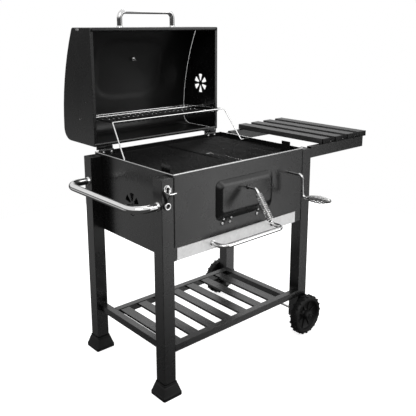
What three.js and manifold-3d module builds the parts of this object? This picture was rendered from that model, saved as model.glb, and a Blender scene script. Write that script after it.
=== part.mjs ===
// Charcoal grill trolley: firebox on four tube legs, hinged lid, side table, slatted shelf and two wheels.
// Millimetres. X runs along the trolley to the side table, Y runs from front to back, Z is up.
import * as THREE from 'three';
import { mergeVertices } from 'three/addons/utils/BufferGeometryUtils.js';
import Module from 'manifold-3d';

const wasm = await Module();
wasm.setup();

// Driving dimensions
const gap = 0.3; // clearance between touching pieces
const sheet = 2; // firebox and lid sheet steel
const boxWidth = 620;
const boxDepth = 460;
const rimZ = 758;
const frontBottomZ = 519;
const sideBottomZ = 474;
const legSize = 46;
const legTopZ = 751;
const axleZ = 80;
const wheelRadius = 79;
const shelfTopZ = 181;
const shelfTube = 25;
const tableTopZ = 778;
const crankX = 543;
const crankZ = 679;
const grateZ = 738;
const latchZ = 668;
const doorPivot = { y: -3.6, z: 563.5 };
const lidPivot = { y: 465.6, z: 756 };
const rackPivot = { y: 567, z: 864.6 };
const rackFront = { y: 395, z: 870 };
const rackTail = 53; // rack behind its pivot
const linkFoot = { y: 306, z: 750 };
const doorCentreX = 313;
const cheeks = { left: 12, right: 34 }; // firebox sheet on each side of the ash drawer's front

// Finishes: colour, metalness and roughness of each kind of piece
const finishes = {
  coat: [0x1b1b1c, 0.3, 0.45],
  coatLight: [0x303032, 0.3, 0.5],
  chrome: [0xd2d4d6, 1.0, 0.12],
  zinc: [0xb9bbbd, 0.9, 0.35],
  enamel: [0x121213, 0.2, 0.4],
  plastic: [0x161616, 0.0, 0.6],
};

const model = new THREE.Group();

function add(name, finish, geometry) {
  const [color, metalness, roughness] = finishes[finish];
  const mesh = new THREE.Mesh(geometry, new THREE.MeshStandardMaterial({ color, metalness, roughness }));
  mesh.name = name;
  model.add(mesh);
}

// Booleans on closed geometries
function solid(geometry) {
  const bare = geometry.clone();
  bare.deleteAttribute('normal');
  bare.deleteAttribute('uv');
  const merged = mergeVertices(bare, 1e-4);
  return new wasm.Manifold(new wasm.Mesh({
    numProp: 3,
    vertProperties: new Float32Array(merged.attributes.position.array),
    triVerts: new Uint32Array(merged.index.array),
  }));
}

function surface(manifold) {
  const mesh = manifold.getMesh();
  const geometry = new THREE.BufferGeometry();
  geometry.setAttribute('position', new THREE.BufferAttribute(mesh.vertProperties, 3));
  geometry.setIndex(new THREE.BufferAttribute(mesh.triVerts, 1));
  return geometry;
}

function join(...geometries) {
  return surface(geometries.map(solid).reduce((whole, piece) => whole.add(piece)));
}

function cut(geometry, ...tools) {
  return surface(tools.map(solid).reduce((left, tool) => left.subtract(tool), solid(geometry)));
}

// Primitive shapes placed by their limits
function block(x0, x1, y0, y1, z0, z1) {
  const geometry = new THREE.BoxGeometry(x1 - x0, y1 - y0, z1 - z0);
  return geometry.translate((x0 + x1) / 2, (y0 + y1) / 2, (z0 + z1) / 2);
}

function rodX(x0, x1, y, z, radius, sides = 16) {
  const geometry = new THREE.CylinderGeometry(radius, radius, x1 - x0, sides);
  return geometry.rotateZ(Math.PI / 2).translate((x0 + x1) / 2, y, z);
}

function rodY(y0, y1, x, z, radius, sides = 16) {
  return new THREE.CylinderGeometry(radius, radius, y1 - y0, sides).translate(x, (y0 + y1) / 2, z);
}

function extrude(shape, depth) {
  return new THREE.ExtrudeGeometry(shape, { depth, bevelEnabled: false, steps: 1, curveSegments: 6 });
}

// A shape drawn in Y and Z, run along X
function alongX(shape, x0, x1) {
  const turn = new THREE.Matrix4().makeBasis(
    new THREE.Vector3(0, 1, 0), new THREE.Vector3(0, 0, 1), new THREE.Vector3(1, 0, 0));
  return extrude(shape, x1 - x0).applyMatrix4(turn).translate(x0, 0, 0);
}

// A shape drawn in X and Z, run along Y
function alongY(shape, y0, y1) {
  return extrude(shape, y1 - y0).rotateX(Math.PI / 2).translate(0, y1, 0);
}

// A shape drawn in X and Y, run along Z
function alongZ(shape, z0, z1) {
  return extrude(shape, z1 - z0).translate(0, 0, z0);
}

function rectangle(a0, a1, b0, b1, radius = 0) {
  const shape = new THREE.Shape();
  if (radius === 0) {
    return shape.setFromPoints([[a0, b0], [a1, b0], [a1, b1], [a0, b1]].map(([a, b]) => new THREE.Vector2(a, b)));
  }
  shape.absarc(a1 - radius, b0 + radius, radius, -Math.PI / 2, 0);
  shape.absarc(a1 - radius, b1 - radius, radius, 0, Math.PI / 2);
  shape.absarc(a0 + radius, b1 - radius, radius, Math.PI / 2, Math.PI);
  shape.absarc(a0 + radius, b0 + radius, radius, Math.PI, Math.PI * 1.5);
  return shape;
}

function frameShape(a0, a1, b0, b1, wall) {
  const shape = rectangle(a0, a1, b0, b1);
  shape.holes.push(rectangle(a0 + wall, a1 - wall, b0 + wall, b1 - wall));
  return shape;
}

function circle(a, b, radius) {
  return new THREE.Shape().absarc(a, b, radius, 0, Math.PI * 2);
}

// A strip of sheet that follows a line of points, with its thickness on the left of the line
function strip(points, thickness) {
  const inner = points.map((point, i) => {
    const before = points[Math.max(i - 1, 0)];
    const after = points[Math.min(i + 1, points.length - 1)];
    const direction = after.clone().sub(before).normalize();
    return new THREE.Vector2(point.x - direction.y * thickness, point.y + direction.x * thickness);
  });
  return new THREE.Shape([...points, ...inner.reverse()]);
}

// A route of straight runs with round bends, for bent tube and wire
class Route extends THREE.Curve {
  constructor(corners, bend, bendSteps) {
    super();
    this.points = [corners[0]];
    for (let i = 1; i < corners.length - 1; i += 1) {
      const before = corners[i - 1].clone().sub(corners[i]).normalize();
      const after = corners[i + 1].clone().sub(corners[i]).normalize();
      const half = before.angleTo(after) / 2;
      const reach = bend / Math.tan(half);
      const middle = before.clone().add(after).normalize().multiplyScalar(bend / Math.sin(half));
      const centre = corners[i].clone().add(middle);
      const from = corners[i].clone().addScaledVector(before, reach).sub(centre);
      const to = corners[i].clone().addScaledVector(after, reach).sub(centre);
      const axis = from.clone().cross(to).normalize();
      for (let k = 0; k <= bendSteps; k += 1) {
        this.points.push(from.clone().applyAxisAngle(axis, from.angleTo(to) * k / bendSteps).add(centre));
      }
    }
    this.points.push(corners[corners.length - 1]);
  }

  get steps() {
    return this.points.length - 1;
  }

  getSpacedPoints() {
    return this.points;
  }

  getTangentAt(u, target = new THREE.Vector3()) {
    const i = Math.round(u * this.steps);
    const first = this.points[Math.max(i - 1, 0)];
    const last = this.points[Math.min(i + 1, this.steps)];
    return target.copy(last).sub(first).normalize();
  }
}

function tube(corners, radius, bend, sides = 12, bendSteps = 5) {
  const route = new Route(corners.map(([x, y, z]) => new THREE.Vector3(x, y, z)), bend, bendSteps);
  const section = new THREE.Shape(
    Array.from({ length: sides }, (_, i) => new THREE.Vector2(
      radius * Math.cos(2 * Math.PI * i / sides), radius * Math.sin(2 * Math.PI * i / sides))));
  return new THREE.ExtrudeGeometry(section, { steps: route.steps, bevelEnabled: false, extrudePath: route });
}

// Round vent of six wedge-shaped openings
const vent = { petals: 6, inner: 11, outer: 40, halfAngle: 0.31, eyelet: 4.6, disc: 47 };

function petals(a, b) {
  return Array.from({ length: vent.petals }, (_, i) => {
    const middle = Math.PI / 2 + i * 2 * Math.PI / vent.petals;
    const petal = new THREE.Path();
    petal.absarc(a, b, vent.outer, middle - vent.halfAngle, middle + vent.halfAngle);
    petal.absarc(a, b, vent.inner, middle + vent.halfAngle, middle - vent.halfAngle, true);
    return petal;
  });
}

function ventDisc(a, b, x0, x1, eyeletX0, eyeletX1) {
  const disc = circle(a, b, vent.disc);
  disc.holes.push(...petals(a, b), circle(a, b, 2.5));
  const eyelet = circle(a, b, vent.eyelet - gap);
  eyelet.holes.push(circle(a, b, 2.5));
  const tab = block(x0, x1, a - 5, a + 5, b + vent.disc - 3, b + vent.disc + 12);
  return join(alongX(disc, x0, x1), alongX(eyelet, eyeletX0, eyeletX1), tab);
}

// Firebox
function fireboxPanels() {
  const front = rectangle(0, boxWidth, frontBottomZ, rimZ);
  front.holes.push(rectangle(186, 440, 582, 698, 12), circle(crankX, crankZ, 6));
  add('front_panel', 'coat', alongY(front, 0, sheet));

  const rear = rectangle(0, boxWidth, sideBottomZ, rimZ);
  rear.holes.push(circle(crankX, crankZ, 6));
  add('rear_panel', 'coat', alongY(rear, boxDepth - sheet, boxDepth));

  for (const side of ['left', 'right']) {
    const mirror = (a, b) => (side === 'left' ? [a, b] : [boxWidth - b, boxWidth - a]);
    const inner = [sheet + gap, boxDepth - sheet - gap];
    const cheek = cheeks[side];
    const wall = rectangle(...inner, sideBottomZ, rimZ);
    if (side === 'left') wall.holes.push(...petals(230, 612), circle(230, 612, vent.eyelet));
    add(`${side}_panel`, 'coat', join(
      alongX(wall, ...mirror(0, sheet)),
      block(...mirror(sheet - 0.5, cheek), inner[0], inner[0] + sheet, sideBottomZ, frontBottomZ - gap),
      block(...mirror(sheet - 0.5, cheek + 12), 10, 448, sideBottomZ, sideBottomZ + sheet), // drawer runner
      block(...mirror(sheet - 0.5, 23), 46, 88, grateZ - 2.3, grateZ - gap), // grate ledge
      block(...mirror(21, 23), 46, 88, grateZ - 2.3, 778), // locating tab above the rim
      block(...mirror(sheet - 0.5, 23), 380, 440, grateZ - 2.3, grateZ - gap), // rear grate ledge
    ));
  }
  add('firebox_vent_disc', 'coat', ventDisc(230, 612, sheet + gap, 3.8, 0, 3));
}

// Legs, feet, axle and wheels
function legsAndWheels() {
  const left = [-legSize - gap, -gap];
  const right = [boxWidth + gap, boxWidth + legSize + gap];
  const rear = boxDepth - legSize;
  const places = [
    ['front_left_leg', left, 0, 14],
    ['rear_left_leg', left, rear, 14],
    ['front_right_leg', right, 0, 60],
    ['rear_right_leg', right, rear, 60],
  ];
  const axleX = (right[0] + right[1]) / 2;
  for (const [name, x, y, bottom] of places) {
    const outside = block(...x, y, y + legSize, bottom, legTopZ);
    const inside = block(x[0] + 2, x[1] - 2, y + 2, y + legSize - 2, bottom - 5, legTopZ - 3);
    const drill = rodY(y - 1, y + legSize + 1, axleX, axleZ, 5.6);
    add(name, 'coat', bottom > 50 ? cut(outside, inside, drill) : cut(outside, inside));
  }

  for (const [name, y] of [['front_foot', 0], ['rear_foot', rear]]) {
    const centre = [-gap - legSize / 2, y + legSize / 2];
    const square = (half, z0, z1, top = half) => {
      const pyramid = new THREE.CylinderGeometry(top * Math.SQRT2, half * Math.SQRT2, z1 - z0, 4);
      return pyramid.rotateY(Math.PI / 4).rotateX(Math.PI / 2).translate(...centre, (z0 + z1) / 2);
    };
    add(name, 'plastic', cut(
      join(square(38, 0, 14), square(38, 14, 42, 28), square(26.5, 42, 50)),
      square(legSize / 2 + gap, 14 - gap, 60)));
  }

  add('axle', 'zinc', join(
    rodY(-47, boxDepth + 47, axleX, axleZ, 5),
    rodY(-51, -47, axleX, axleZ, 8.5, 6),
    rodY(boxDepth + 47, boxDepth + 51, axleX, axleZ, 8.5, 6)));

  // radius and distance out from the leg of the wheel's section, starting in the bore
  const section = [[5.4, 6], [60, 6], [71, 6.5], [77, 9], [wheelRadius, 14], [wheelRadius, 27], [76, 33], [69, 38],
    [59, 39], [56, 27], [22, 25], [18, 44], [5.4, 46]];
  for (const [name, start, direction] of [['front_wheel', 0, -1], ['rear_wheel', boxDepth, 1]]) {
    const points = section.map(([radius, out]) => new THREE.Vector2(radius, direction * out));
    if (direction < 0) points.reverse();
    points.push(points[0].clone());
    add(name, 'plastic', new THREE.LatheGeometry(points, 36).translate(axleX, start, axleZ));
  }
}

// Side table and lower shelf
function tableAndShelf() {
  const tableEnd = 1006;
  for (const [name, y] of [['front_table_rail', 0], ['rear_table_rail', boxDepth - 20]]) {
    const rail = frameShape(y, y + 20, 714, 757, 1.5);
    add(name, 'coat', alongX(rail, boxWidth + legSize + 2 * gap, tableEnd));
  }
  const slat = { first: 736, width: 47, pitch: 79.6 };
  for (let i = 0; i < 4; i += 1) {
    const x = slat.first + i * slat.pitch;
    add(`table_slat_${i + 1}`, 'coatLight', alongY(frameShape(x, x + slat.width, 757 + gap, tableTopZ, 1.5), -2, 464));
  }

  const z = [shelfTopZ - shelfTube, shelfTopZ];
  const leftRail = -30;
  const rightRail = 545;
  const rearRail = 336;
  const rearLegY = boxDepth - legSize;
  add('front_shelf_rail', 'coat', alongX(frameShape(0, shelfTube, ...z, 1.5), 0.1, boxWidth - 0.1));
  add('left_shelf_rail', 'coat', alongY(
    frameShape(leftRail, leftRail + shelfTube, ...z, 1.5), legSize + gap, rearLegY - gap));
  add('right_shelf_rail', 'coat', alongY(
    frameShape(rightRail, rightRail + shelfTube, ...z, 1.5), shelfTube + gap, rearRail + shelfTube));
  add('rear_shelf_rail', 'coat', alongX(
    frameShape(rearRail, rearRail + shelfTube, ...z, 1.5), leftRail + shelfTube + gap, rightRail - gap));
  const shelfSlat = { first: 6, width: 38, pitch: 78.6 };
  for (let i = 0; i < 7; i += 1) {
    const x = shelfSlat.first + i * shelfSlat.pitch;
    const section = frameShape(x, x + shelfSlat.width, z[1] - 10, z[1] - 2, 1.5);
    add(`shelf_slat_${i + 1}`, 'coat', alongY(section, shelfTube + gap, rearRail - gap));
  }
}

// Bright handles and the bottle opener on the front left leg
function brightParts() {
  const legFace = -legSize - 2 * gap;
  const out = -130;
  const [y0, y1, z] = [legSize / 2, boxDepth - legSize / 2, 662];
  add('side_handle', 'chrome', join(
    tube([[legFace, y0, z], [out, y0, z], [out, y1, z], [legFace, y1, z]], 12.5, 48, 16, 7),
    rodX(legFace - 3, legFace, y0, z, 19),
    rodX(legFace - 3, legFace, y1, z, 19)));

  add('lid_handle', 'chrome', tube(
    [[184, 551, 1200 + gap], [184, 551, 1260], [436, 551, 1260], [436, 551, 1200 + gap]], 10, 26));

  const opener = new THREE.Shape();
  const outline = [[-0.3, 738], [-2.8, 738], [-2.8, 712], [-28, 703], [-29, 699], [-8, 692], [-6, 672],
    [-10, 658], [-8, 656], [-0.3, 664]];
  opener.setFromPoints(outline.map(([y, height]) => new THREE.Vector2(y, height)));
  add('bottle_opener', 'chrome', alongX(opener, -36, -14));
}

// Fire door with its latch handle
function fireDoor() {
  const face = rectangle(177, 449, 567.2, 706, 16);
  face.holes.push(rectangle(191, 435, 586, 694, 12));
  const pan = rectangle(190, 436, 585, 695, 13);
  const hollow = rectangle(191.8, 434.2, 586.8, 693.2, 11);
  const hinges = [229, 397];
  const knuckles = hinges.map((x) => rodX(x - 8, x + 8, doorPivot.y, doorPivot.z, 3.2, 10));
  const tongues = hinges.map((x) => block(x - 8, x + 8, -2.4, -0.4, doorPivot.z + 1, 570));
  add('fire_door', 'coat', cut(
    join(alongY(face, -2.4, -0.4), alongY(pan, -15, -0.4), ...knuckles, ...tongues),
    alongY(hollow, -13.2, 1),
    rodY(-20, 0, doorCentreX, latchZ, 4.8),
    ...hinges.map((x) => rodX(x - 12, x + 12, doorPivot.y, doorPivot.z, 1.7, 8))));

  hinges.forEach((x, i) => {
    add(['left_door_hinge', 'right_door_hinge'][i], 'coat', join(
      block(x - 22, x + 22, -1.8, -gap, 548, 560),
      ...[-1, 1].map((side) => rodX(x + side * 13.2 - 4.8, x + side * 13.2 + 4.8, doorPivot.y, doorPivot.z, 3.2, 10)),
      ...[-1, 1].map((side) => block(x + side * 13.2 - 4.8, x + side * 13.2 + 4.8, -1.8, -gap - 0.1, 559, 563)),
      rodX(x - 18, x + 18, doorPivot.y, doorPivot.z, 1.4, 8)));
  });

  const arm = tube([[doorCentreX, -6, latchZ], [doorCentreX, -54, latchZ], [doorCentreX, -128, 570]], 4, 12, 10);
  const coil = tube([[doorCentreX, -66, 652.1], [doorCentreX, -122, 577.9]], 13, 1, 12);
  add('door_latch', 'chrome', join(arm, coil,
    rodY(-18.5, -15 - gap, doorCentreX, latchZ, 9, 12),
    block(doorCentreX - 5, doorCentreX + 5, -10, -8, latchZ - 6, latchZ + 20)));
}

// Ash drawer under the firebox
function ashDrawer() {
  const floor = sideBottomZ + sheet + gap;
  const front = [cheeks.left + 0.5, boxWidth - cheeks.right - 0.5];
  const [x0, x1] = [front[0] + 2, front[1] - 2];
  const tray = cut(block(x0, x1, 1, 440, floor, 515), block(x0 + 1.5, x1 - 1.5, 2.5, 438.5, floor + 1.5, 520));
  add('ash_drawer', 'zinc', join(tray, block(...front, 0, 1.5, 475, 517)));
  const [left, right] = [162, 458];
  add('drawer_handle', 'chrome', join(
    tube([[left, -gap, 497], [left, -54, 497], [right, -54, 497], [right, -gap, 497]], 8, 24, 12),
    rodY(-3, -gap, left, 497, 12, 12),
    rodY(-3, -gap, right, 497, 12, 12)));
}

// Charcoal tray that hangs on two levers of the crank shaft
const lever = { length: 60, front: 26, rear: 430, pin: 4 };

function charcoalTray() {
  const [x0, x1, y0, y1, z0, z1] = [34, 516, 34, 424, 562, 618];
  const pinX = crankX - lever.length;
  const ear = rectangle(pinX - 22, pinX + 24, z1 - 4, crankZ + 14, 6);
  const slot = new THREE.Path();
  slot.absarc(pinX + 12, crankZ, lever.pin + 1.4, -Math.PI / 2, Math.PI / 2);
  slot.absarc(pinX - 1, crankZ, lever.pin + 1.4, Math.PI / 2, Math.PI * 1.5);
  ear.holes.push(slot);
  const body = cut(block(x0, x1, y0, y1, z0, z1), block(x0 + sheet, x1 - sheet, y0 + sheet, y1 - sheet, z0 + sheet, z1 + 5));
  const slots = [];
  for (let i = 0; i < 7; i += 1) {
    for (let k = 0; k < 3; k += 1) {
      const [x, y] = [x0 + 34 + i * 66, y0 + 30 + k * 118];
      slots.push(block(x, x + 18, y, y + 94, z0 - 1, z0 + sheet + 1));
    }
  }
  add('charcoal_tray', 'enamel', cut(
    join(body, alongY(ear, y0, y0 + sheet), alongY(ear, y1 - sheet, y1)), ...slots));
}

// Crank: one bent rod from the rear panel to the grip, with the two lift levers
function crank() {
  const armEnd = [552, -62, 593];
  const tip = [552, -186, 606];
  const slope = Math.atan2(tip[2] - armEnd[2], armEnd[1] - tip[1]);
  const rod = tube([[crankX, 466, crankZ], [crankX, armEnd[1], crankZ], armEnd, tip], 5.2, 13, 10);
  const leverAt = (y, direction) => join(
    block(crankX - lever.length - 7, crankX + 6, y - 2, y + 2, crankZ - 6, crankZ + 6),
    rodY(Math.min(y, y + direction * 14), Math.max(y, y + direction * 14), crankX - lever.length, crankZ, lever.pin, 12));
  add('crank', 'chrome', join(rod, leverAt(lever.front, 1), leverAt(lever.rear, -1)));

  const profile = [[5.7, -18], [8, -18], [11.5, -34], [14, -52], [14.5, -70], [13, -90], [9.5, -108], [6.9, -119],
    [5.7, -119], [5.7, -18]].map(([radius, y]) => new THREE.Vector2(radius, y));
  add('crank_grip', 'zinc', new THREE.LatheGeometry(profile.reverse(), 16).rotateX(-slope).translate(...armEnd));
}

// Two cooking grates side by side
function cookingGrates() {
  const z = [grateZ, grateZ + 6];
  const halves = [['left_cooking_grate', 4, 308.5], ['right_cooking_grate', 311.5, 616]];
  for (const [name, x0, x1] of halves) {
    const y0 = 8;
    const y1 = boxDepth - 8;
    const notch = x0 < 100 ? [x0 - 1, 26] : [594, x1 + 1];
    const pitch = 22;
    const bar = 6;
    const middle = (x0 + x1) / 2;
    const slots = [];
    for (const [a0, a1] of [[x0 + 26, middle - 3], [middle + 3, x1 - 26]]) {
      for (let y = y0 + bar; y + pitch - bar < y1; y += pitch) {
        slots.push(block(a0, a1, y, y + pitch - bar, z[0] - 1, z[1] + 1));
      }
    }
    add(name, 'enamel', cut(block(x0, x1, y0, y1, ...z), block(...notch, 40, 94, 700, 760), ...slots));
  }
}

// Lid, drawn open as it stands at rest
function lidProfile(inset) {
  const points = [new THREE.Vector2(472, 772 + inset)];
  const bend = 46;
  const cornerRadius = 12;
  for (let i = 0; i <= 6; i += 1) {
    const angle = -Math.PI / 2 + i * Math.PI / 12;
    points.push(new THREE.Vector2(652 + (bend - inset) * Math.cos(angle), 818 + (bend - inset) * Math.sin(angle)));
  }
  const back = new THREE.QuadraticBezierCurve(
    new THREE.Vector2(698 - inset, 818),
    new THREE.Vector2(698 - inset, 1010),
    new THREE.Vector2(608 - 1.12 * inset, 1193.4 - inset));
  points.push(...back.getPoints(8).slice(1));
  for (let i = 1; i <= 4; i += 1) {
    const angle = 0.456 + i * (Math.PI / 2 - 0.456) / 4;
    points.push(new THREE.Vector2(
      597.2 - 1.12 * inset + cornerRadius * Math.cos(angle),
      1200 - inset - cornerRadius + cornerRadius * Math.sin(angle)));
  }
  points.push(new THREE.Vector2(472, 1200 - inset));
  return points;
}

function lid() {
  const [x0, x1] = [7, 613];
  const [inX0, inX1] = [x0 + sheet + gap, x1 - sheet - gap];
  const thermometer = { x: 310, y: 656.2, z: 1075, lean: 0.319 };
  const across = { y0: 472, y1: 474 };
  add('lid_shell', 'coat', cut(
    join(
      alongX(strip(lidProfile(0), sheet), inX0, inX1),
      block(inX0, inX1, across.y0, across.y1, 1186, 1199),
      block(inX0, inX1, across.y0, across.y1, 773, 786)),
    rodY(630, 690, thermometer.x, thermometer.z, 6)));

  const ventCentre = [580, 960];
  for (const side of ['left', 'right']) {
    const wall = new THREE.Shape(lidProfile(sheet + gap));
    if (side === 'right') wall.holes.push(...petals(...ventCentre), circle(...ventCentre, vent.eyelet));
    wall.holes.push(circle(rackPivot.y, rackPivot.z, 3.5));
    const at = side === 'left' ? [x0, x0 + sheet] : [x1 - sheet, x1];
    const flange = side === 'left' ? [x0 + 0.5, 19] : [601, x1 - 0.5];
    add(`lid_${side}_side`, 'coat', join(
      alongX(wall, ...at), block(...flange, across.y0, across.y1, 786 + gap, 1186 - gap)));
  }
  add('lid_vent_disc', 'coat', ventDisc(...ventCentre, x1 + gap, x1 + 2, x1 - 3, x1 + 1));

  // dial outside, stem through the lid, nut inside
  const stem = join(rodY(0.6, 13, 0, 0, 34, 28), rodY(-18, 1, 0, 0, 4, 12), rodY(-9, -3.5, 0, 0, 9, 6));
  add('thermometer', 'chrome', stem.rotateX(thermometer.lean).translate(thermometer.x, thermometer.y, thermometer.z));
}

function lidHinges() {
  const { y, z } = lidPivot;
  const back = boxDepth + gap;
  const half = 30;
  for (const [side, x] of [['left', 52], ['right', 568]]) {
    const fixedX = [x - half, x - 0.3];
    const movingX = [x + 0.3, x + half];
    add(`${side}_hinge_base`, 'coat', join(
      block(x - half, x + half, back, back + 2.2, 700, z - 6),
      block(...fixedX, back, back + 4, z - 7, z),
      rodX(...fixedX, y, z, 5.2, 14),
      rodX(x - half, x + half + 2, y, z, 2.6, 12)));
    add(`${side}_hinge_leaf`, 'coat', cut(
      join(
        rodX(...movingX, y, z, 5.2, 14),
        block(...movingX, y + 2.6, y + 5.2, z, 771.6),
        block(x - half, x + half, 474.5, 512, 769.4, 771.6),
        block(...movingX, y + 2.6, 476, 769.4, 771.6)),
      rodX(x - 1, x + half + 8, y, z, 2.9, 12)));
  }
}

// Warming rack: pivots in the lid sides, held up in front by a bent link on each side
function warmingRack() {
  const [x0, x1] = [46, 574];
  const wire = 2.5;
  const reach = Math.hypot(rackFront.y - rackPivot.y, rackFront.z - rackPivot.z);
  const cells = 12;
  const cell = (x1 - x0 - 5) / cells;
  const openings = [];
  for (let i = 0; i < cells; i += 1) {
    const x = x0 + 5 + i * cell;
    openings.push(block(x, x + cell - 5, -reach + wire, rackTail - wire, -wire - 1, wire + 1));
  }
  const tilt = Math.atan2(rackFront.z - rackPivot.z, rackPivot.y - rackFront.y);
  const plate = cut(block(x0, x1, -reach - wire, rackTail + wire, -wire, wire), ...openings);
  const grid = plate.rotateX(-tilt).translate(0, rackPivot.y, rackPivot.z);
  add('warming_rack', 'chrome', join(grid, rodX(4.5, 615.5, rackPivot.y, rackPivot.z, wire, 10)));

  const { y, z } = linkFoot;
  const path = [[sheet + gap, y, z], [25, y, z], [38, rackFront.y, rackFront.z], [x0 - gap, rackFront.y, rackFront.z]];
  const mirrored = path.map(([x, ...rest]) => [boxWidth - x, ...rest]);
  add('left_rack_link', 'chrome', tube(path, wire, 3, 8, 3));
  add('right_rack_link', 'chrome', tube(mirrored, wire, 3, 8, 3));
}

fireboxPanels();
legsAndWheels();
tableAndShelf();
brightParts();
fireDoor();
ashDrawer();
charcoalTray();
crank();
cookingGrates();
lid();
lidHinges();
warmingRack();

// The origin is on the floor, under the middle of the whole trolley
const bounds = new THREE.Box3().setFromObject(model);
model.position.set(-(bounds.min.x + bounds.max.x) / 2, -(bounds.min.y + bounds.max.y) / 2, -bounds.min.z);

export default model;
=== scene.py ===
import math

import bmesh
import bpy
from mathutils import Matrix, Vector


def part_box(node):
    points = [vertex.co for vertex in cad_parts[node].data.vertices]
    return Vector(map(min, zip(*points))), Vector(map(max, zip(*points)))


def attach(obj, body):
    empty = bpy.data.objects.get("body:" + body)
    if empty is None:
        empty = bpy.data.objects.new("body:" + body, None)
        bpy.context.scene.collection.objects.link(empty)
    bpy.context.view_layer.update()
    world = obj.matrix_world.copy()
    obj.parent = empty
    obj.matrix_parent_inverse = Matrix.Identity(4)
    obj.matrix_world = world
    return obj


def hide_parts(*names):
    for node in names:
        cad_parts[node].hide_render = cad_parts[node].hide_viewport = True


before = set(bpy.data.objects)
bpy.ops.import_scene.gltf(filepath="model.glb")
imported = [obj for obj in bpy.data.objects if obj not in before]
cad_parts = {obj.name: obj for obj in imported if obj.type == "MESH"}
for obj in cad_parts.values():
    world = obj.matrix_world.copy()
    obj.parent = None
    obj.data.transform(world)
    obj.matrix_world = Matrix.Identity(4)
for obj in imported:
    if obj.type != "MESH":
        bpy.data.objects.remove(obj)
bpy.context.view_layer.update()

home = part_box("front_panel")[0]  # front left corner of the firebox, from which millimetres count
print("frame loaded,", len(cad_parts), "nodes")


# Millimetres along, across and up from the firebox corner, to metres in the frame
def at(x, y, z):
    return Vector((home.x + x / 1000, home.y + y / 1000, z / 1000))


# The same, sideways from a line at x
def beside(x, place):
    return at(x + place[0], place[1], place[2])


class Wire:  # a socket that takes part in sums
    def __init__(self, look, socket):
        self.look = look
        self.socket = socket

    def math(self, operation, first, second):
        made = self.look.node("ShaderNodeMath", {"operation": operation}, {0: first, 1: second})
        return Wire(self.look, made.outputs[0])

    def __add__(self, other):
        return self.math("ADD", self, other)

    def __radd__(self, other):
        return self.math("ADD", other, self)

    def __sub__(self, other):
        return self.math("SUBTRACT", self, other)

    def __rsub__(self, other):
        return self.math("SUBTRACT", other, self)

    def __mul__(self, other):
        return self.math("MULTIPLY", self, other)

    def __rmul__(self, other):
        return self.math("MULTIPLY", other, self)


class Look:  # one material and its nodes
    def __init__(self, name, tree=None):
        if tree is None:
            self.material = bpy.data.materials.new(name)
            self.material.use_nodes = True
            tree = self.material.node_tree
        self.tree = tree
        tree.nodes.clear()

    def node(self, kind, settings=None, sockets=None):
        made = self.tree.nodes.new(kind)
        for key, value in (settings or {}).items():
            setattr(made, key, value)
        for key, value in (sockets or {}).items():
            if isinstance(value, Wire):
                self.tree.links.new(value.socket, made.inputs[key])
            else:
                made.inputs[key].default_value = value
        return made

    def wire(self, node, output=0):
        return Wire(self, node.outputs[output])

    def place(self, scale=(1, 1, 1)):
        coordinates = self.wire(self.node("ShaderNodeTexCoord"), "Object")
        return self.wire(self.node("ShaderNodeMapping", None, {"Vector": coordinates, "Scale": scale}))

    def noise(self, vector, scale, detail, roughness=0.5):
        made = self.node("ShaderNodeTexNoise", None,
                         {"Vector": vector, "Scale": scale, "Detail": detail, "Roughness": roughness})
        return self.wire(made, "Fac")

    def blendColours(self, factor, low, high):
        made = self.node("ShaderNodeMix", {"data_type": "RGBA"}, {0: factor, 6: low, 7: high})
        return self.wire(made, 2)

    def limited(self, value, low, high, toLow=0.0, toHigh=1.0):
        made = self.node("ShaderNodeMapRange", {"interpolation_type": "SMOOTHSTEP"},
                         {0: value, 1: low, 2: high, 3: toLow, 4: toHigh})
        return self.wire(made)

    def bump(self, height, distance, strength):
        return self.wire(self.node("ShaderNodeBump", None,
                                   {"Height": height, "Distance": distance, "Strength": strength}))

    def finish(self, sockets):
        shader = self.node("ShaderNodeBsdfPrincipled", None, sockets)
        self.node("ShaderNodeOutputMaterial", None, {0: self.wire(shader)})
        return self.material


def grey(value, warmth=0.0):
    return (value * (1 + warmth), value, value * (1 - warmth), 1)


coatLook = {"dark": 0.002, "light": 0.0045, "roughness": 0.27, "spread": 0.08, "peel": 1100,
            "depth": 0.00008}


def powderCoat(name, dark, light, roughness, specular=0.7):
    look = Look(name)
    where = look.place()
    cloud = look.noise(where, 9, 4)
    fine = look.noise(where, coatLook["peel"], 1)
    dust = look.limited(look.noise(where, 42, 6, 0.65), 0.58, 0.80)
    colour = look.blendColours(cloud, grey(dark), grey(light))
    colour = look.blendColours(dust * 0.2, colour, grey(light * 2.2, 0.02))
    return look.finish({
        "Base Color": colour,
        "Roughness": roughness - coatLook["spread"] / 2 + coatLook["spread"] * cloud + dust * 0.06,
        "Specular IOR Level": specular,
        "Normal": look.bump(fine, coatLook["depth"], 0.7),
    })


slatLook = {"dark": 0.035, "light": 0.075, "roughness": 0.40, "grain": (520, 9, 60), "depth": 0.00018}


def slatCoat():
    look = Look("slat coat")
    grain = look.noise(look.place(slatLook["grain"]), 1.0, 5, 0.6)
    cloud = look.noise(look.place(), 14, 3)
    streaks = look.limited(grain, 0.3, 0.75)
    colour = look.blendColours(streaks, grey(slatLook["dark"]), grey(slatLook["light"]))
    return look.finish({
        "Base Color": colour,
        "Metallic": 0.35,
        "Roughness": slatLook["roughness"] + 0.12 * grain + 0.06 * cloud,
        "Normal": look.bump(grain, slatLook["depth"], 0.6),
    })


metalLook = {"brush": (60, 60, 60), "smears": 24, "depth": 0.00003}


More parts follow.
